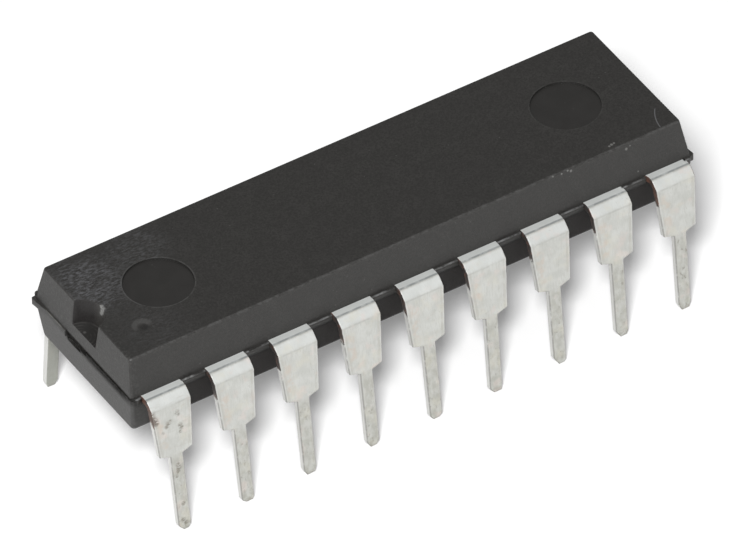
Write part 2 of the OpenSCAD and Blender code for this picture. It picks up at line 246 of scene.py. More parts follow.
def mould_compound():
    """Black filled epoxy: fine grain, smooth ejector marks, rubbed, scratched and dusty places, with painted
    shade in its hollows and below the leads and painted highlights on rims and edges.
    """
    p = Paint("moulded_epoxy")
    grain = p.noise(15, 4, 0.65)
    mottle = p.noise(1.6, 3, 0.5, shift=(3.1, 1.7, 0.4))
    on_top = p.step(p.z, TOP_Z - 0.03, TOP_Z - 0.005)
    color = p.mix(p.step(grain, 0.35, 0.7), (0.0166, 0.0158, 0.0145), (0.0266, 0.0255, 0.0236))
    pale_grain = p.both(p.step(mottle, 0.4, 0.75), p.step(grain, 0.4, 0.6))
    color = p.mix(pale_grain, color, (0.0276, 0.0265, 0.0246))

    # Discs left by the ejector pins in the top: painted shade on their wall and a thin, broken pale rim that
    # is a painted highlight, fainter at the far one
    across = p.math("SUBTRACT", p.math("ABSOLUTE", p.x), EJECTOR_X)
    radius = p.math("SQRT", p.math("ADD", p.both(across, across), p.both(p.y, p.y)))
    by_top = p.step(p.z, TOP_Z - 0.12, TOP_Z - 0.08)
    disc = p.both(p.step(radius, EJECTOR_R + 0.004, EJECTOR_R - 0.01), by_top)
    smooth_black = p.mix(p.step(mottle, 0.3, 0.7), (0.0150, 0.0141, 0.0130), (0.0175, 0.0165, 0.0153))
    color = p.mix(disc, color, smooth_black)
    # Painted shade on the wall inside each mark
    mark_wall_shade = p.both(
        p.band(radius, EJECTOR_R, 0.016, 0.012),
        by_top,
        p.step(p.z, TOP_Z - 0.004, TOP_Z - 0.018),
    )
    color = p.over(color, mark_wall_shade, 0.6, (0.0035, 0.0032, 0.0030))
    broken = p.step(p.noise(3.0, 3, 0.6), 0.32, 0.62)
    # Painted highlight on the broken rim round each mark
    burr = p.both(
        p.band(radius, EJECTOR_R + 0.03, 0.012, 0.02),
        on_top,
        broken,
        p.blend(p.step(p.x, -1, 1), 1.0, 0.3),
    )
    color = p.over(color, burr, 0.65, (0.062, 0.061, 0.059))

    # Rubbed, bluish streaks by the notched end and round the first mark
    near = p.step(p.vector("DISTANCE", p.place, (-10.35, 1.25, TOP_Z)), 2.2, 0.4)
    behind = p.step(p.vector("DISTANCE", p.place, (-8.0, 1.9, TOP_Z)), 1.6, 0.4)
    before = p.step(p.vector("DISTANCE", p.place, (-9.6, -1.9, TOP_Z)), 2.0, 0.3)
    fainter = p.math("MAXIMUM", p.math("MULTIPLY", behind, 0.5), p.math("MULTIPLY", before, 0.22))
    zone = p.math("MAXIMUM", near, fainter)
    streaks = p.noise(7.5, 4, 0.7, stretch=(0.7, 1.7, 1), turn=(0, 0, math.radians(38)))
    patches = p.noise(1.7, 3, 0.6, shift=(0.7, 4.2, 0))
    rub = p.both(
        zone,
        p.step(streaks, 0.40, 0.66),
        p.blend(p.step(patches, 0.34, 0.56), 0.45, 1.0),
        on_top,
        p.math("SUBTRACT", 1.0, disc),
    )
    color = p.over(color, rub, 0.8, (0.104, 0.105, 0.111))

    # Pale specks
    color = p.over(color, p.spots(SPECKS), 0.8, (0.15, 0.148, 0.142))

    # The dimple: painted shade in the middle, with a painted highlight in a crescent at its far side
    hollow = p.radius(DIMPLE_X, DIMPLE_Y)
    dimple_highlight = p.both(
        p.band(hollow, 0.27, 0.05, 0.09),
        p.step(p.y, DIMPLE_Y - 0.16, DIMPLE_Y + 0.08),
        by_top,
    )
    color = p.over(color, dimple_highlight, 0.6, (0.062, 0.061, 0.059))
    # Painted shade in the dimple's middle
    middle = p.both(p.step(p.radius(DIMPLE_X + 0.05, DIMPLE_Y - 0.05), 0.20, 0.08), by_top)
    color = p.over(color, middle, 0.7, (0.0085, 0.008, 0.0075))

    # Grains of the filler, and the scratch
    filler = p.step(p.noise(9.5, 1, 0.4, shift=(8.2, 0.3, 5.5)), 0.765, 0.81)
    color = p.over(color, filler, 0.4, (0.10, 0.098, 0.095))
    scratch = p.both(
        p.band(p.radius(SCRATCH_X, SCRATCH_Y), SCRATCH_R, 0.008, 0.02),
        p.band(p.y, (SCRATCH_LOW_Y + SCRATCH_HIGH_Y) / 2, (SCRATCH_HIGH_Y - SCRATCH_LOW_Y) / 2 - 0.1, 0.1),
        p.step(p.x, SCRATCH_X, SCRATCH_X - 0.5),
        on_top,
    )
    color = p.over(color, scratch, 0.65, (0.13, 0.13, 0.135))

    # The notch: painted shade on its wall, deepest towards the back, turning marks and a pale spot on its
    # floor, and bare spots by its rim
    from_axis = p.radius(-BODY_L / 2, 0)
    in_notch = p.both(
        p.step(from_axis, NOTCH_R + 0.01, NOTCH_R - 0.01),
        p.step(p.z, NOTCH_FLOOR_Z - 0.02, NOTCH_FLOOR_Z - 0.005),
    )
    turned = p.step(p.math("SINE", p.math("MULTIPLY", from_axis, 46)), 0.3, 0.9)
    faint = p.both(turned, p.step(p.noise(2.2, 2, 0.5, shift=(6, 1, 2)), 0.35, 0.6))
    floor_tone = p.over((0.0110, 0.0102, 0.0094), faint, 0.5, (0.0480, 0.0455, 0.0430))
    floor_tone = p.mix(p.spots([(-11.1, 0.15, NOTCH_FLOOR_Z, 0.08)]), floor_tone, (0.050, 0.048, 0.046))
    # Painted shade on the notch's wall
    notch_wall_shade = p.mix(p.step(p.y, 0.42, 0.05), (0.0040, 0.0026, 0.0022), (0.0245, 0.0225, 0.0205))
    notch_tone = p.mix(p.step(p.z, NOTCH_FLOOR_Z + 0.01, NOTCH_FLOOR_Z + 0.05), floor_tone, notch_wall_shade)
    color = p.mix(in_notch, color, notch_tone)
    color = p.over(color, p.spots(RIM_SPOTS), 0.75, (0.24, 0.24, 0.235))

    # The notched end: painted shade in the broken gate and along the step under the ledge, and a painted
    # highlight on the ledge's top edge
    end = p.step(p.x, -BODY_L / 2 + 0.17, -BODY_L / 2 + 0.15)
    ragged = p.math("MULTIPLY", p.math("SUBTRACT", p.noise(7, 3, 0.6, shift=(3, 3, 3)), 0.5), 0.16)
    # Painted shade in the broken gate's recess
    gate = p.both(
        end,
        p.band(
            p.math("ADD", p.y, ragged),
            (GATE_LOW_Y + GATE_HIGH_Y) / 2,
            (GATE_HIGH_Y - GATE_LOW_Y) / 2,
            0.05,
        ),
        p.band(p.math("ADD", p.z, ragged), LEAD_TOP_Z - 0.17, 0.15, 0.06),
    )
    # Painted shade along the step under the ledge
    step_shade = p.both(
        end,
        p.step(p.y, GATE_HIGH_Y + 0.15, GATE_HIGH_Y),
        p.step(p.math("ADD", p.z, p.math("MULTIPLY", ragged, 0.7)), LEAD_TOP_Z - 0.52, LEAD_TOP_Z - 0.16),
        p.step(p.z, LEAD_TOP_Z + 0.08, LEAD_TOP_Z),
        p.blend(p.step(p.y, -3.1, -2.4), 0.45, 1.0),
    )
    end_shade = p.math("MAXIMUM", p.math("MULTIPLY", gate, 0.9), p.math("MULTIPLY", step_shade, 0.8))
    color = p.mix(end_shade, color, (0.0060, 0.0056, 0.0050))
    # Painted highlight on the top edge of the ledge
    ledge_highlight = p.both(
        p.step(p.x, -BODY_L / 2 - 0.012, -BODY_L / 2 - 0.03),
        p.band(p.y, 1.75, 0.6, 0.15),
        p.step(p.z, LEAD_TOP_Z - 0.05, LEAD_TOP_Z - 0.02),
        p.step(p.noise(3.5, 3, 0.6, shift=(2, 5, 1)), 0.3, 0.55),
    )
    color = p.over(color, ledge_highlight, 0.8, (0.105, 0.103, 0.095))

    # Painted shade on the flanks, most of all below and between the leads, and a painted highlight along the
    # lower edge at the notched end
    side = p.math("ABSOLUTE", p.y)
    edge_y = BODY_W / 2 - UPPER_DRAFT_W
    # Painted shade on the flank below and between the leads
    between = p.both(
        p.step(p.z, LEAD_BOTTOM_Z + 0.15, LEAD_BOTTOM_Z - 0.05),
        p.step(side, BODY_W / 2 - 0.6, BODY_W / 2 - 0.4),
        p.step(p.math("ABSOLUTE", p.x), BODY_L / 2 - 0.6, BODY_L / 2 - 1.0),
    )
    color = p.over(color, between, 0.9, (0.0070, 0.0052, 0.0046))
    # Painted shade on the long sides of the upper half
    upper_side_shade = p.both(
        p.step(side, edge_y + 0.01, edge_y + 0.04),
        p.step(p.z, LEAD_TOP_Z, LEAD_TOP_Z + 0.02),
    )
    color = p.over(color, upper_side_shade, 0.15, (0.008, 0.0074, 0.0066))
    # Painted highlight along the lower edge at the notched end
    foot_highlight = p.both(
        p.step(p.x, -BODY_L / 2 + 1.0, -BODY_L / 2 + 0.8),
        p.step(p.z, UNDERSIDE_Z + 0.13, UNDERSIDE_Z + 0.07),
        p.step(p.noise(6, 3, 0.6, shift=(4, 4, 0)), 0.36, 0.6),
    )
    color = p.over(color, foot_highlight, 0.6, (0.105, 0.104, 0.100))

    # The notched end's face outside the notch: a little darker by painted shade, with pale grit
    by_end = p.step(p.x, -BODY_L / 2 + 0.5, -BODY_L / 2 + 0.35)
    end_face = p.math("SUBTRACT", by_end, in_notch, clamp=True)
    grit = p.step(p.noise(10, 3, 0.6, shift=(5, 2, 9)), 0.47, 0.68)
    color = p.over(color, end_face, 0.15, (0.008, 0.0075, 0.0068))
    color = p.over(color, p.both(end_face, grit), 0.28, (0.070, 0.069, 0.066))

    # Pale flash along the parting band: dust and a painted highlight on its top edge
    dust_and_highlight = p.both(
        p.step(side, BODY_W / 2 + 0.055, BODY_W / 2 + 0.085),
        p.step(p.z, LEAD_TOP_Z - 0.04, LEAD_TOP_Z - 0.01),
        p.step(p.noise(2.4, 3, 0.65), 0.38, 0.66),
    )
    color = p.over(color, dust_and_highlight, 0.65, (0.17, 0.172, 0.172))

    # Worn long edges of the top
    edge = p.both(
        p.step(side, edge_y - 0.075, edge_y - 0.03),
        p.step(p.z, TOP_Z - 0.085, TOP_Z - 0.04),
        p.step(p.noise(4, 3, 0.6, shift=(1, 1, 1)), 0.38, 0.62),
    )
    color = p.over(color, edge, 0.5, (0.062, 0.061, 0.060))

    rough = p.blend(disc, p.blend(grain, 0.44, 0.58), p.blend(mottle, 0.46, 0.54))
    # Rougher and less reflective where shade is painted, so that the painted shade stays dark
    matt = p.math("MAXIMUM", end_shade, p.math("MULTIPLY", between, 0.4))
    p.finish(color=color, roughness=p.blend(matt, rough, 0.85), ior=p.blend(matt, 1.52, 1.15))
    smooth = p.math("SUBTRACT", 1.0, p.math("MULTIPLY", disc, 0.75))
    p.bump(p.both(p.math("ADD", grain, p.math("MULTIPLY", mottle, 0.4)), smooth), 0.018, 0.55)
    return p.material


# Scuffs on the lead beside the notch: x, y, z and radius
SCUFFS = [
    (-10.30, -3.85, 4.55, 0.16), (-10.38, -3.86, 4.45, 0.14), (-10.22, -3.84, 4.62, 0.11),
    (-9.93, -3.80, 4.86, 0.15), (-9.90, -3.82, 4.76, 0.12),
    (-9.86, -3.88, 4.30, 0.14), (-9.82, -3.90, 4.18, 0.14),
    (-9.88, -3.92, 4.04, 0.11), (-10.55, -3.88, 4.25, 0.11),
    (-10.12, -4.12, 2.75, 0.13), (-10.10, -4.14, 2.62, 0.15),
    (-10.13, -4.16, 2.48, 0.12), (-10.20, -4.2, 2.3, 0.1),
    (-10.08, -4.33, 1.1, 0.12), (-10.16, -4.40, 0.45, 0.14), (-10.05, -4.42, 0.30, 0.12),
]
# Brown marks that reach in from that lead's edge, below the bend: x, y, z and radius
EDGE_MARKS = [
    (-10.92, -3.74, 5.12, 0.22), (-10.93, -3.78, 4.98, 0.25),
    (-10.85, -3.80, 4.88, 0.23), (-10.78, -3.82, 4.76, 0.19),
]
# Between these heights the sheared sides turn from tin to bare copper
BARE_LOW_Z, BARE_HIGH_Z = 4.55, 4.72


def tin_plate():
    """Satin tin over copper alloy: drawn streaks, painted shade in the creases and painted highlights on the
    bends and edges, bare copper where the frame was cut.
    """
    p = Paint("tinned_lead")
    cloud = p.noise(2.2, 3, 0.55)
    fine = p.noise(22, 3, 0.6)
    drawn = p.noise(16, 3, 0.6, stretch=(1.6, 0.5, 0.22))
    out = p.math("ABSOLUTE", p.y)
    color = p.mix(p.step(cloud, 0.3, 0.7), (0.455, 0.460, 0.434), (0.530, 0.536, 0.512))
    color = p.over(color, p.step(drawn, 0.45, 0.72), 0.5, (0.39, 0.39, 0.36))

    # Pins blotched and darker than the shoulders, tips stained, and a painted highlight on the bends
    pin = p.step(p.z, SEAT_Z + 0.05, SEAT_Z - 0.35)
    blotch = p.noise(5.5, 3, 0.6, stretch=(1, 1, 0.55), shift=(6.3, 1.2, 8.8))
    pin_tone = p.mix(p.step(blotch, 0.3, 0.68), (0.475, 0.478, 0.45), (0.365, 0.362, 0.325))
    color = p.over(color, pin, 0.85, pin_tone)
    spotted = p.step(p.noise(7.5, 2, 0.5, stretch=(1, 1, 0.7), shift=(1.1, 4.9, 2.6)), 0.62, 0.72)
    color = p.over(color, p.both(pin, spotted), 0.5, (0.19, 0.18, 0.15))
    tip = p.both(
        p.step(p.z, 0.55, 0.1),
        p.step(p.noise(6.5, 3, 0.6, shift=(3.7, 0.2, 5.1)), 0.44, 0.62),
    )
    color = p.over(color, tip, 0.5, (0.22, 0.21, 0.165))
    # Painted highlight on the bends
    bend = p.both(
        p.step(p.z, LEAD_BOTTOM_Z - 0.12, LEAD_BOTTOM_Z + 0.05),
        p.step(out, BEND_Y + 0.1, BEND_Y + 0.16),
    )
    color = p.over(color, bend, 0.6, (0.57, 0.587, 0.577))

    # Faint yellow and pink stains
    stain = p.step(p.noise(1.5, 3, 0.6, shift=(4.4, 2.2, 7.1)), 0.5, 0.72)
    color = p.over(color, stain, 0.35, (0.56, 0.535, 0.44))
    blush = p.step(p.noise(2.1, 2, 0.5, shift=(9.4, 5.2, 1.1)), 0.56, 0.72)
    color = p.over(color, blush, 0.35, (0.60, 0.51, 0.47))

    # Soft scuffs and scores on the lead by the notch, and faint pits on all of them
    smear = p.noise(9, 4, 0.7, stretch=(0.8, 1, 1.6), turn=(0, math.radians(35), 0), distortion=0.6)
    scuff = p.both(p.spots(SCUFFS), p.step(smear, 0.36, 0.54))
    color = p.over(color, scuff, 0.8, (0.17, 0.155, 0.125))
    scored = p.noise(5, 3, 0.6, stretch=(0.5, 1.0, 2.2), turn=(0, math.radians(28), 0))
    first = p.both(p.step(p.x, -9.3, -9.5), p.step(p.y, -3.6, -3.75), p.step(p.z, 3.2, 3.6))
    color = p.over(color, p.both(first, p.step(scored, 0.54, 0.66)), 0.4, (0.42, 0.405, 0.37))
    pits = p.noise(9, 2, 0.5, shift=(2.7, 6.1, 3.3))
    color = p.over(color, p.step(pits, 0.69, 0.78), 0.45, (0.33, 0.32, 0.29))

    # Painted highlight on the flat tin between body and bend, and painted shade in the creases where the
    # bend starts and ends
    by_top = p.step(p.z, LEAD_TOP_Z - 0.1, LEAD_TOP_Z - 0.06)
    # Painted highlight on the flat top between body and bend
    strip = p.both(p.step(out, BEND_Y + 0.08, BEND_Y + 0.03), by_top)
    color = p.over(color, strip, 0.8, (0.60, 0.62, 0.61))
    crease_shade = p.both(
        p.band(out, BEND_Y + 0.035, 0.018, 0.03),
        by_top,
        p.step(p.noise(3.2, 3, 0.6), 0.15, 0.6),
    )
    color = p.over(color, crease_shade, 0.75, (0.16, 0.172, 0.172))
    # Painted shade in the crease where the bend ends
    lower = p.both(
        p.band(p.z, LEAD_BOTTOM_Z - 0.075, 0.012, 0.035),
        p.step(out, BEND_Y + 0.3, BEND_Y + 0.35),
        p.step(p.noise(2.6, 3, 0.6, shift=(5.1, 0, 2.2)), 0.3, 0.62),
    )
    color = p.over(color, lower, 0.45, (0.33, 0.33, 0.31))

    # Painted highlights on the edges with painted shade in a line beside them, and a warm stain on the left
    # of the shoulder
    from_edge = p.math("SUBTRACT", p.stored("half"), p.math("ABSOLUTE", p.stored("across")))
    below = p.both(p.step(p.z, LEAD_BOTTOM_Z + 0.02, LEAD_BOTTOM_Z - 0.1), p.blend(pin, 1.0, 0.15))
    edge_shade = p.both(
        p.band(from_edge, 0.115, 0.02, 0.05),
        below,
        p.step(p.noise(3.4, 3, 0.6, shift=(7, 3, 1)), 0.3, 0.6),
    )
    color = p.over(color, edge_shade, 0.4, (0.36, 0.345, 0.31))
    # Painted highlight along the rounded edges
    rubbed = p.both(
        p.step(from_edge, 0.075, 0.04),
        below,
        p.step(p.noise(4.4, 3, 0.6, shift=(1, 8, 4)), 0.25, 0.55),
    )
    color = p.over(color, rubbed, 0.25, (0.60, 0.61, 0.59))
    across_share = p.math("MULTIPLY", p.stored("across"), p.math("DIVIDE", 1.0, p.stored("half")))
    warm = p.both(
        p.band(across_share, -0.62, 0.08, 0.25),
        p.band(p.z, 4.25, 0.55, 0.3),
        p.step(p.noise(3.1, 3, 0.6, shift=(0.4, 3.3, 6.6)), 0.42, 0.62),
    )
    color = p.over(color, warm, 0.5, (0.50, 0.42, 0.35))

    # The side towards the body darker; the sheared sides bare copper round the bend, darkened with painted
    # shade, and a painted highlight on them below it
    normal = p.split(p.tree.nodes.new("ShaderNodeNewGeometry").outputs["Normal"])
    inward = p.step(p.math("MULTIPLY", normal[1], p.math("SIGN", p.y)), -0.3, -0.7)
    inner_tone = p.mix(cloud, (0.27, 0.275, 0.245), (0.33, 0.335, 0.30))
    color = p.over(color, inward, 0.85, inner_tone)
    sheared = p.step(p.math("ABSOLUTE", normal[0]), 0.5, 0.85)
    ragged = p.math("ADD", p.z, p.math("MULTIPLY", p.math("SUBTRACT", p.noise(4.5, 3, 0.6), 0.5), 0.7))
    bare = p.both(
        p.step(p.math("ABSOLUTE", normal[0]), 0.25, 0.5),
        p.step(ragged, BARE_LOW_Z, BARE_HIGH_Z),
    )
    browned = p.step(p.noise(5, 3, 0.6, shift=(2, 0, 1)), 0.50, 0.66)
    # Bare copper, darkened with painted shade
    copper_in_shade = p.mix(browned, (0.020, 0.0115, 0.0095), (0.095, 0.034, 0.020))
    on_end_lead = p.step(p.math("ABSOLUTE", p.x), 9.0, 9.2)
    rusty = p.both(on_end_lead, p.step(p.noise(3.5, 3, 0.6, shift=(5, 5, 1)), 0.4, 0.6))
    copper_in_shade = p.over(copper_in_shade, rusty, 0.6, (0.17, 0.06, 0.028))
    color = p.over(color, bare, 0.94, copper_in_shade)
    # Painted highlight on the sheared sides below the bend
    cut = p.math("SUBTRACT", sheared, bare, clamp=True)
    color = p.over(color, cut, 0.85, (0.66, 0.66, 0.64))

    # A dark line along the left edge, painted shade on the undersides of the shoulders, and the marks on the
    # first lead
    line = p.both(
        p.step(from_edge, 0.045, 0.015),
        p.step(p.stored("depth"), 0.06, 0.085),
        p.step(p.stored("across"), 0.0, -0.05),
        p.step(p.z, 4.75, 4.4),
        p.step(p.noise(2.8, 3, 0.6, shift=(2, 9, 4)), 0.22, 0.5),
    )
    color = p.over(color, line, 0.65, (0.15, 0.147, 0.132))
    # Painted shade on the downward faces of the shoulders
    under = p.both(p.step(normal[2], -0.2, -0.5), p.step(p.z, SEAT_Z - 0.4, SEAT_Z - 0.2))
    color = p.over(color, under, 0.85, (0.10, 0.098, 0.088))
    burnt = p.both(p.spots(EDGE_MARKS), p.step(smear, 0.36, 0.47))
    color = p.over(color, burnt, 0.8, (0.085, 0.058, 0.044))

    gloss = p.step(p.math("ADD", fine, p.math("MULTIPLY", cloud, 0.5)), 0.5, 1.0)
    p.finish(color=color, metallic=0.3, roughness=p.blend(gloss, 0.44, 0.58))
    marks = p.noise(4.5, 4, 0.65, distortion=0.8)
    grain = p.math("ADD", drawn, p.math("MULTIPLY", marks, 0.8))
    p.bump(p.math("ADD", p.math("MULTIPLY", fine, 0.6), grain), 0.011, 0.5)
    return p.material


def frame_copper():
    """Bare copper alloy of the lead frame, dark and matt where the tie bars were cut at the ends."""
    p = Paint("lead_frame_alloy")
    tone = p.noise(6, 3, 0.6)
    color = p.mix(p.step(tone, 0.3, 0.7), (0.50, 0.23, 0.12), (0.62, 0.33, 0.19))
    ends = p.step(p.math("ABSOLUTE", p.x), BODY_L / 2 - 0.7, BODY_L / 2 - 0.5)
    cut = p.mix(p.step(p.noise(9, 3), 0.4, 0.6), (0.004, 0.0038, 0.0034), (0.013, 0.0122, 0.0105))
    color = p.mix(ends, color, cut)
    p.finish(
        color=color,
        metallic=p.blend(ends, 0.9, 0.0),
        roughness=p.blend(ends, p.blend(tone, 0.35, 0.55), 0.85),
        ior=p.blend(ends, 1.5, 1.15),
    )
    p.bump(tone, 0.01, 0.4)
    return p.material


def die_adhesive():
    """Silver-filled adhesive under the die."""
    p = Paint("silver_adhesive")
    flakes = p.noise(30, 3, 0.7)
    p.finish(
        color=p.mix(p.step(flakes, 0.4, 0.65), (0.34, 0.34, 0.33), (0.52, 0.52, 0.50)),
        metallic=0.4,
        roughness=p.blend(flakes, 0.45, 0.7),
    )
    p.bump(flakes, 0.008, 0.5)
    return p.material


def silicon_die():
    """Dark polished silicon with faint bands of its layers."""
    p = Paint("silicon")
    bands = p.noise(5, 2, 0.5, stretch=(0.4, 2.5, 1))
    p.finish(
        color=p.mix(p.step(bands, 0.35, 0.65), (0.075, 0.085, 0.105), (0.12, 0.13, 0.15)),
        metallic=0.3,
        roughness=p.blend(bands, 0.18, 0.3),
    )
    p.bump(bands, 0.002, 0.3)
    return p.material


def bond_gold():
    """Drawn gold wire."""
    p = Paint("gold_wire")
    drawn = p.noise(20, 2, 0.5)
    p.finish(
        color=p.mix(p.step(drawn, 0.3, 0.7), (0.80, 0.52, 0.16), (0.90, 0.63, 0.24)),
        metallic=1.0,
        roughness=p.blend(drawn, 0.2, 0.34),
    )
    p.bump(drawn, 0.001, 0.3)
    return p.material


EPOXY = mould_compound()
TIN = tin_plate()
FRAME = frame_copper()
PLAIN = {"die_attach": die_adhesive(), "die": silicon_die(), "bond_wire": bond_gold(), "die_pad": FRAME}


def finish_piece(name, bm, material, replaced=None):
    """Turns millimetre geometry into a piece that rides with the chip."""
    bmesh.ops.scale(bm, vec=(MM,) * 3, verts=bm.verts)
    bmesh.ops.recalc_face_normals(bm, faces=bm.faces)
    mesh = bpy.data.meshes.new(name)
    bm.to_mesh(mesh)
    bm.free()
    mesh.materials.append(material)
    mesh.polygons.foreach_set("use_smooth", [True] * len(mesh.polygons))
    piece = bpy.data.objects.new(name, mesh)
    bpy.context.scene.collection.objects.link(piece)
    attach(piece, "root")
    if replaced:
        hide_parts(replaced)
    return piece


# Width of the bevel along the eased edges of the body
EASED_BY = 0.018


def moulded_body():
    """The moulding with its arrises eased, as they come out of the tool."""
    bm = bmesh.new()
    bm.from_mesh(nodes["body"].data)
    bmesh.ops.scale(bm, vec=(1 / MM,) * 3, verts=bm.verts)
    bmesh.ops.remove_doubles(bm, verts=bm.verts, dist=0.001)
    bmesh.ops.dissolve_limit(bm, angle_limit=math.radians(0.5), verts=bm.verts, edges=bm.edges)

    def eased(edge):
        """Whether an edge is a sharp one at the notch, at an ejector mark or on the step of an end."""
        if not edge.is_manifold or edge.calc_face_angle() < math.radians(35):
            return False
        m = (edge.verts[0].co + edge.verts[1].co) / 2
        in_notch = math.hypot(m.x + BODY_L / 2, m.y) < NOTCH_R + 0.05 and m.z > NOTCH_FLOOR_Z - 0.05
        at_mark = abs(math.hypot(abs(m.x) - EJECTOR_X, m.y) - EJECTOR_R) < 0.03
        by_band = LEAD_BOTTOM_Z - 0.3 < m.z < LEAD_TOP_Z + 0.01
        at_end = abs(m.x) > BODY_L / 2 - 0.2 and by_band and abs(m.y) > TIE_W / 2 + 0.05
        return in_notch or at_mark or at_end

    edges = [e for e in bm.edges if eased(e)]
    bmesh.ops.bevel(
        bm, geom=edges, offset=EASED_BY, segments=2, profile=0.5, affect="EDGES", clamp_overlap=True,
    )
    piece = finish_piece("moulded_body", bm, EPOXY, "body")
    piece.data.set_sharp_from_angle(angle=math.radians(42))
    weighted = piece.modifiers.new("even_shading", "WEIGHTED_NORMAL")
    weighted.keep_sharp = True


# Tip of each lead of the front row: half width left and right, how steeply each side tapers, and how
# steeply the cut rises to the right. The back row, turned half round, uses the same list.
TIP_SHAPES = [
    (0.05, 0.13, 0.9, 0.7, 0.10),
    (0.07, 0.17, 1.3, 0.5, 0.05),
    (0.13, 0.19, 0.5, 0.25, 0.12),
    (0.11, 0.10, 0.6, 0.9, 0.10),
    (0.12, 0.09, 0.8, 1.2, 0.08),
    (0.08, 0.20, 0.9, 0.2, 0.05),
    (0.05, 0.14, 0.6, 0.9, 0.05),
    (0.06, 0.18, 0.7, 0.4, 0.15),
    (0.13, 0.17, 0.45, 0.3, 0.06),
]
# How far each lead sits to the side of its place, at the shoulder and at the tip, seen from its own side
LEANS = [
    (0.04, 0.06), (0.03, 0.05), (0.03, 0.01), (0.03, 0.015), (0.03, 0.025),
    (0.02, -0.08), (0.04, -0.02), (0.06, -0.02), (0.09, 0.01),
    (0.0, 0.03), (0.02, -0.02), (0.01, 0.04), (0.0, -0.03), (0.02, 0.0),
    (0.01, 0.03), (0.0, -0.04), (0.01, 0.02), (0.0, -0.03),
]
# Sections round the bend, and how deep the tool's crease is at the first of them
BEND_STEPS = 24
BEND_CREASE = {1: -0.006, 2: -0.014, 3: -0.012, 4: -0.004}
# Sections down shoulder and pin by their distance from the bend, and the second crease
DROPS = [0.05, 0.1, 0.16, 0.24, 0.4, 0.6, 0.8, 1.1, 1.4, 1.7]
DROPS += [SEAT_DROP - 0.06, SEAT_DROP - 0.015, SEAT_DROP]
DROPS += [SEAT_DROP + SHOULDER_SLOPE * k for k in (0.05, 0.25, 0.5, 0.75, 0.93, 1.0, 1.12)]
DROPS += [SEAT_DROP + 0.3, SEAT_DROP + 0.7, SEAT_DROP + 1.2, SEAT_DROP + 1.8, SEAT_DROP + 2.4]
DROPS += [TIP_DROP - e for e in (0.42, 0.32, 0.24, 0.17, 0.11, 0.06, 0.02, 0.0)]
DROP_CREASE = {0.05: -0.004, 0.1: -0.008, 0.16: -0.004}
# Rounding of a lead's edges, how much its end sections are drawn in, and how many sections the cut spans
EDGE_R, END_INSET, CUT_SECTIONS = 0.03, 0.02, 6


def finger_points(n):
    """Where lead n's finger ends beside the pad, and where it turns into that last run."""
    middle = n - (LEADS_PER_ROW + 1) / 2
    side = (middle > 0) - (middle < 0)
    from_end = min(n - 1, LEADS_PER_ROW - n)
    neck_end_y = BODY_W / 2 - ROOT_DEPTH - NECK_L
    if from_end < 2:
        tip = Vector((
            side * (PAD_L / 2 + FINGER_GAP),
            -(TIE_W + FINGER_W) / 2 - FINGER_GAP - from_end * (FINGER_W + FINGER_GAP),
        ))
        return tip, Vector((middle * PITCH - side * (neck_end_y + tip.y) * FINGER_LEAN, tip.y))
    tip = Vector((middle * (PAD_L - FINGER_W) / (LEADS_PER_ROW - 5), -PAD_W / 2 - FINGER_GAP))
    return tip, tip - Vector((0, FINGER_RUN))


def drop_half_width(d):
    """Half the width of shoulder and pin, d below the bend."""
    if d <= SEAT_DROP:
        return (SHOULDER_W + (SHOULDER_END_W - SHOULDER_W) * d / SEAT_DROP) / 2
    share = min((d - SEAT_DROP) / SHOULDER_SLOPE, 1)
    return (SHOULDER_END_W + (PIN_W - SHOULDER_END_W) * share) / 2


def bend_dent(a):
    """How far the outside of the bend lies below a true arc at angle a: the tool pressed it nearly flat."""
    low, high = math.radians(13), math.radians(73)
    outer = BEND_R + SHEET_T
    if not low < a < high:
        return 0
    chord = outer * math.cos((high - low) / 2) / math.cos(a - (low + high) / 2)
    return 0.8 * (chord - outer)


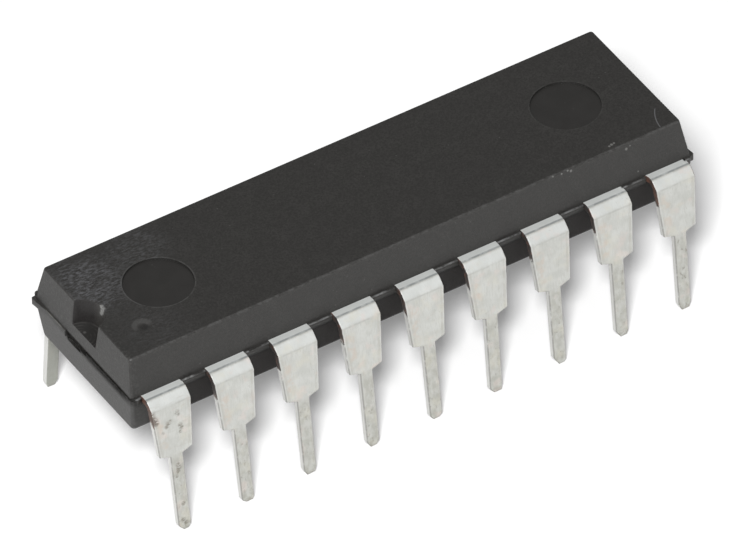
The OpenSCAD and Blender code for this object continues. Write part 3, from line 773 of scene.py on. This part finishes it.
def lead_stations(number):
    """Sections along a lead, seen from its own side: place, direction across, face normal, left and right
    half width, dent."""
    n = number - LEADS_PER_ROW if number > LEADS_PER_ROW else number
    outer_half = CORNER_HALF_W if number == 2 * LEADS_PER_ROW else SHOULDER_W / 2
    x = (n - (LEADS_PER_ROW + 1) / 2) * PITCH
    tip, knee = finger_points(n)
    middle_z = LEAD_BOTTOM_Z + SHEET_T / 2
    up = Vector((0, 0, 1))
    right = Vector((1, 0, 0))
    shoulder_lean, tip_lean = LEANS[number - 1]
    stations = []

    flat = [
        (tip, FINGER_W),
        (knee, FINGER_W),
        (Vector((x, -BODY_W / 2 + ROOT_DEPTH + NECK_L)), FINGER_W),
        (Vector((x, -BODY_W / 2 + ROOT_DEPTH)), SHOULDER_W),
        (Vector((x + shoulder_lean, -BODY_W / 2)), SHOULDER_W),
        (Vector((x + shoulder_lean, -STEP_Y + 0.008)), SHOULDER_W),
        (Vector((x + shoulder_lean, -STEP_Y)), SHOULDER_W),
        (Vector((x + shoulder_lean, -BEND_Y + 0.03)), SHOULDER_W),
    ]
    for i, (point, width) in enumerate(flat):
        way_in = (flat[max(i, 1)][0] - flat[max(i, 1) - 1][0]).normalized()
        j = min(i, len(flat) - 2)
        way_out = (flat[j + 1][0] - flat[j][0]).normalized()
        way = (way_in + way_out).normalized()
        reach = width / 2 / way.dot(way_in)
        out = min(reach, outer_half) if point.y <= -STEP_Y else reach
        across = Vector((-way.y, way.x, 0))
        stations.append((Vector((point.x, point.y, middle_z)), across, up, reach, out, 0))

    for i in range(BEND_STEPS + 1):
        a = BEND_ANGLE * i / BEND_STEPS
        normal = Vector((0, -math.sin(a), math.cos(a)))
        place = Vector((x + shoulder_lean, -BEND_Y, BEND_Z)) + normal * (BEND_R + SHEET_T / 2)
        dent = bend_dent(a) + BEND_CREASE.get(i, 0)
        stations.append((place, right, normal, SHOULDER_W / 2, outer_half, dent))

    heading = Vector((0, -math.cos(BEND_ANGLE), -math.sin(BEND_ANGLE)))
    left_tip, right_tip, left_taper, right_taper, skew = TIP_SHAPES[n - 1]
    for d in DROPS:
        half = drop_half_width(d)
        e = TIP_DROP - d
        left = min(half, left_tip + e * left_taper)
        right_half = min(half, outer_half, right_tip + e * right_taper)
        dent = DROP_CREASE.get(d, 0)
        lean = right * (tip_lean - shoulder_lean) * max(0, d - SEAT_DROP) / (TIP_DROP - SEAT_DROP)
        stations.append((place + heading * d + lean, right, normal, left, right_half, dent))
    return stations, heading, skew


def section(left, right_half, radius):
    """A rounded strip section as pairs: place across, place through the sheet."""
    half_t = SHEET_T / 2
    points = []
    for side_x, side_t, start in ((1, 1, 0), (-1, 1, 90), (-1, -1, 180), (1, -1, 270)):
        half = right_half if side_x > 0 else left
        centre = (side_x * (half - radius), side_t * (half_t - radius))
        arc = []
        for k in range(5):
            a = math.radians(start + 22.5 * k)
            arc.append((centre[0] + radius * math.cos(a), centre[1] + radius * math.sin(a)))
        on_side = (side_x * half, side_t * (half_t - 2 * radius))
        on_face = (side_x * (half - 2 * radius), side_t * half_t)
        before, after = (on_side, on_face) if side_x * side_t > 0 else (on_face, on_side)
        points += [before] + arc + [after]
    return points


def formed_lead(number):
    """One stamped and bent lead with rolled edges, tool creases and its own cut tip."""
    stations, heading, skew = lead_stations(number)
    bm = bmesh.new()
    across_mm = bm.verts.layers.float.new("across")
    half_mm = bm.verts.layers.float.new("half")
    depth_mm = bm.verts.layers.float.new("depth")
    rings = []
    last = len(stations) - 1
    for i, (place, across, normal, left, right_half, dent) in enumerate(stations):
        radius = min(EDGE_R, 0.3 * min(left, right_half))
        inset = END_INSET if i in (0, last) else 0
        ring = []
        for a, b in section(left, right_half, radius):
            b += dent * (b / SHEET_T + 0.5)
            a *= 1 - inset / max(left, right_half)
            b *= 1 - inset / (SHEET_T / 2)
            lift = 0
            if i > last - CUT_SECTIONS:
                lift = skew * (a + left) * (i - last + CUT_SECTIONS) / CUT_SECTIONS
            vert = bm.verts.new(place + across * a + normal * b - heading * lift)
            vert[across_mm] = a
            vert[depth_mm] = b
            vert[half_mm] = right_half if a > 0 else left
            ring.append(vert)
        rings.append(ring)
    for lower, upper in zip(rings, rings[1:]):
        for k in range(len(lower)):
            m = (k + 1) % len(lower)
            bm.faces.new((lower[k], lower[m], upper[m], upper[k]))
    bm.faces.new(rings[0])
    bm.faces.new(rings[-1])
    if number > LEADS_PER_ROW:
        bmesh.ops.rotate(bm, cent=(0, 0, 0), matrix=Matrix.Rotation(math.pi, 3, "Z"), verts=bm.verts)
    piece = finish_piece(f"formed_lead_{number:02d}", bm, TIN, f"lead_{number:02d}")
    piece.data.set_sharp_from_angle(angle=math.radians(60))


def skin(bm, rows, close):
    """Faces between neighbouring rows of points; close makes each row a ring and caps both ends."""
    made = [[bm.verts.new(point) for point in row] for row in rows]
    for a, b in zip(made, made[1:]):
        for k in range(len(a) if close else len(a) - 1):
            m = (k + 1) % len(a)
            bm.faces.new((a[k], a[m], b[m], b[k]))
    if close:
        bm.faces.new(made[0])
        bm.faces.new(made[-1])


def flash_fringe(front):
    """Thin ragged flash on the edge of the band, between the leads of one row."""
    rng = random.Random(11 if front else 12)
    bm = bmesh.new()
    side = -1 if front else 1
    inner, outer = BODY_W / 2 + 0.05, BODY_W / 2 + FLASH
    middle = (LEADS_PER_ROW + 1) / 2
    clear = SHOULDER_W / 2 + 0.05
    for n in range(LEADS_PER_ROW + 1):
        low = -BODY_L / 2 + 0.25 if n == 0 else (n - middle) * PITCH + clear
        high = BODY_L / 2 - 0.25 if n == LEADS_PER_ROW else (n + 1 - middle) * PITCH - clear
        if high - low < 0.1:
            continue
        count = max(4, int((high - low) / 0.03))
        lumps = [
            (rng.uniform(low, high), rng.uniform(0.03, 0.08), rng.uniform(0.006, 0.026))
            for _ in range(3)
        ]
        rows = []
        for k in range(count + 1):
            x = low + (high - low) * k / count
            fade = min(1, 6 * min(k, count - k) / count)
            rough = 0.5 + 0.5 * noise.noise(Vector((x * 9, side * 3.1, 0.7)))
            lump = sum(h * math.exp(-((x - c) / w) ** 2) for c, w, h in lumps)
            rise = (0.004 + 0.010 * rough + lump) * fade + 0.001
            proud = (0.003 + 0.012 * rough + 0.35 * lump) * fade
            rows.append([
                (x, side * inner, LEAD_TOP_Z - 0.004),
                (x, side * (inner + 0.025), LEAD_TOP_Z + rise * 0.8),
                (x, side * (outer - 0.02), LEAD_TOP_Z + rise),
                (x, side * (outer + proud), LEAD_TOP_Z + rise * 0.3 - 0.008),
                (x, side * (outer + proud * 0.5), LEAD_TOP_Z - 0.035),
                (x, side * (outer - 0.015), LEAD_TOP_Z - 0.05),
            ])
        skin(bm, rows, close=True)
    finish_piece("flash_front" if front else "flash_back", bm, EPOXY)


def gate_scar():
    """Torn moulding where the gate broke off, and the burr above the corner tab."""
    bm = bmesh.new()
    across, up = 26, 14
    rows = []
    for j in range(up + 1):
        z = LEAD_TOP_Z - GATE_H * j / up
        row = []
        for i in range(across + 1):
            y = GATE_LOW_Y + (GATE_HIGH_Y - GATE_LOW_Y) * i / across
            rim = min(i, across - i, j, up - j)
            torn = 0.5 + 0.5 * noise.fractal(Vector((y * 6, z * 7, 2.3)), 0.8, 2.1, 4)
            depth = GATE_DEPTH - (0.0 if rim == 0 else 0.015 + 0.075 * max(0, torn))
            row.append((-BODY_L / 2 + depth, y, z))
        rows.append(row)
    skin(bm, rows, close=False)

    tall, round_count = 9, 10
    rows = []
    for j in range(tall + 1):
        z = LEAD_TOP_Z + 0.06 + 0.24 * j / tall
        size = 0.055 * math.sin(math.pi * (j + 0.6) / (tall + 1.2))
        lean_x = UPPER_DRAFT_L * (z - LEAD_TOP_Z) / (TOP_Z - LEAD_TOP_Z)
        lean_y = UPPER_DRAFT_W * (z - LEAD_TOP_Z) / (TOP_Z - LEAD_TOP_Z)
        row = []
        for i in range(round_count):
            a = 2 * math.pi * i / round_count
            rough = 1 + 0.5 * noise.noise(Vector((math.cos(a) * 2, math.sin(a) * 2, z * 14)))
            row.append((
                -BODY_L / 2 + lean_x + size * rough * math.cos(a),
                BODY_W / 2 - lean_y - 0.04 + size * rough * math.sin(a),
                z,
            ))
        rows.append(row)
    skin(bm, rows, close=True)
    finish_piece("gate_scar", bm, EPOXY)


moulded_body()
for number in range(1, 2 * LEADS_PER_ROW + 1):
    formed_lead(number)
flash_fringe(True)
flash_fringe(False)
gate_scar()
for name, node in nodes.items():
    for key, material in PLAIN.items():
        if name == key or name.startswith((key + "_0", key + "_1")):
            node.data.materials.clear()
            node.data.materials.append(material)


# Lamps: name, place in metres, edge of the square and power in watts
LAMPS = [
    ("key", (-0.225, -0.301, 0.415), 0.1, 3.75),
    ("left", (-0.43, 0.0, 0.15), 0.30, 0.19),
]
# Half the floor's width, how far it lies below the pin tips, and its glow; the sky's light on the chip
FLOOR_HALF, FLOOR_DROP, FLOOR_GLOW = 0.9, 0.00002, 0.18
SKY_LIGHT = 0.25


def studio():
    """White floor that stays white to the camera but keeps the shadow, soft lamps and an even sky."""
    bm = bmesh.new()
    bmesh.ops.create_grid(bm, x_segments=8, y_segments=8, size=FLOOR_HALF)
    mesh = bpy.data.meshes.new("studio_floor")
    bm.to_mesh(mesh)
    bm.free()
    floor = bpy.data.objects.new("studio_floor", mesh)
    floor.location.z = -FLOOR_DROP
    bpy.context.scene.collection.objects.link(floor)

    material = bpy.data.materials.new("white_floor")
    material.use_nodes = True
    tree = material.node_tree
    tree.nodes.clear()
    diffuse = tree.nodes.new("ShaderNodeBsdfDiffuse")
    diffuse.inputs["Color"].default_value = (0.8, 0.8, 0.8, 1)
    path = tree.nodes.new("ShaderNodeLightPath")
    seen = tree.nodes.new("ShaderNodeMath")
    seen.operation = "MAXIMUM"
    tree.links.new(path.outputs["Is Camera Ray"], seen.inputs[0])
    tree.links.new(path.outputs["Is Glossy Ray"], seen.inputs[1])
    lift = tree.nodes.new("ShaderNodeMath")
    lift.operation = "MULTIPLY"
    tree.links.new(seen.outputs[0], lift.inputs[0])
    lift.inputs[1].default_value = FLOOR_GLOW
    glow = tree.nodes.new("ShaderNodeEmission")
    tree.links.new(lift.outputs[0], glow.inputs["Strength"])
    both = tree.nodes.new("ShaderNodeAddShader")
    tree.links.new(diffuse.outputs[0], both.inputs[0])
    tree.links.new(glow.outputs[0], both.inputs[1])
    output = tree.nodes.new("ShaderNodeOutputMaterial")
    tree.links.new(both.outputs[0], output.inputs["Surface"])
    mesh.materials.append(material)

    world = bpy.data.worlds.new("studio_sky")
    bpy.context.scene.world = world
    world.use_nodes = True
    tree = world.node_tree
    back = tree.nodes["Background"]
    back.inputs["Color"].default_value = (1, 1, 1, 1)
    path = tree.nodes.new("ShaderNodeLightPath")
    level = tree.nodes.new("ShaderNodeMix")
    level.data_type = "FLOAT"
    tree.links.new(path.outputs["Is Camera Ray"], level.inputs[0])
    level.inputs[2].default_value = SKY_LIGHT
    level.inputs[3].default_value = 1.0
    tree.links.new(level.outputs[0], back.inputs["Strength"])

    for name, place, size, power in LAMPS:
        lamp = bpy.data.lights.new(name, "AREA")
        lamp.shape = "SQUARE"
        lamp.size = size
        lamp.energy = power
        holder = bpy.data.objects.new(name, lamp)
        holder.location = place
        holder.rotation_euler = (-Vector(place)).to_track_quat("-Z", "Y").to_euler()
        holder.visible_camera = False
        bpy.context.scene.collection.objects.link(holder)


def photo_camera():
    """The photograph's view, fitted to the corners and pin tips seen in it."""
    azimuth, elevation, roll = math.radians(-31.215), math.radians(41.824), math.radians(-1.464)
    distance, scale, sensor = 600.0, 29.276, 36
    wide, high = 730, 559
    centre_u, centre_v = 363.03, 193.33
    back = Vector((
        math.sin(azimuth) * math.cos(elevation),
        -math.cos(azimuth) * math.cos(elevation),
        math.sin(elevation),
    ))
    right = Vector((math.cos(azimuth), math.sin(azimuth), 0))
    up = back.cross(right)
    right, up = right * math.cos(roll) + up * math.sin(roll), up * math.cos(roll) - right * math.sin(roll)
    top = Vector((0, 0, TOP_Z))
    eye = top + back * distance
    aim = top + right * (wide / 2 - centre_u) / scale - up * (high / 2 - centre_v) / scale
    axis = (eye - aim).normalized()
    right = (right - axis * right.dot(axis)).normalized()
    up = axis.cross(right)

    data = bpy.data.cameras.new("photo_view")
    data.sensor_width = sensor
    data.sensor_fit = "HORIZONTAL"
    data.lens = sensor * scale * distance / wide
    data.clip_start, data.clip_end = 0.05, 20
    camera = bpy.data.objects.new("photo_view", data)
    camera.matrix_world = Matrix((
        (right.x, up.x, axis.x, eye.x * MM),
        (right.y, up.y, axis.y, eye.y * MM),
        (right.z, up.z, axis.z, eye.z * MM),
        (0, 0, 0, 1),
    ))
    bpy.context.scene.collection.objects.link(camera)
    bpy.context.scene.camera = camera


studio()
photo_camera()
bpy.context.scene.view_settings.view_transform = "Standard"
bpy.context.view_layer.update()
